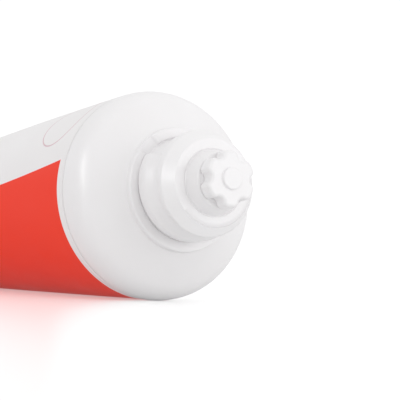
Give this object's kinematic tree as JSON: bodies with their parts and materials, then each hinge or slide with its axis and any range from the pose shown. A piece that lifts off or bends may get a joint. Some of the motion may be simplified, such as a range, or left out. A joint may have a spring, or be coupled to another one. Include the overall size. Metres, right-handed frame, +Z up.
{
  "type": "toothpaste tube",
  "caption": "Full toothpaste tube lying on its side with the cap off: round shoulder, screw neck, nozzle with a star-shaped twist-off seal, and a flat sealed tail.",
  "frame": {"origin": "on the table, below the middle of the tube's box", "axes": "+X from the tail to the head, +Y across the tube, +Z up"},
  "size_m": [0.1576, 0.0596, 0.0378],
  "materials": {
    "sleeve": "satin white printed laminate with a plain orange-red field",
    "head": "moulded white polyethylene, semi-gloss"
  },
  "bodies": {
    "root": {"filled_sleeve": "sleeve", "head": "head"}
  },
  "joints": []
}
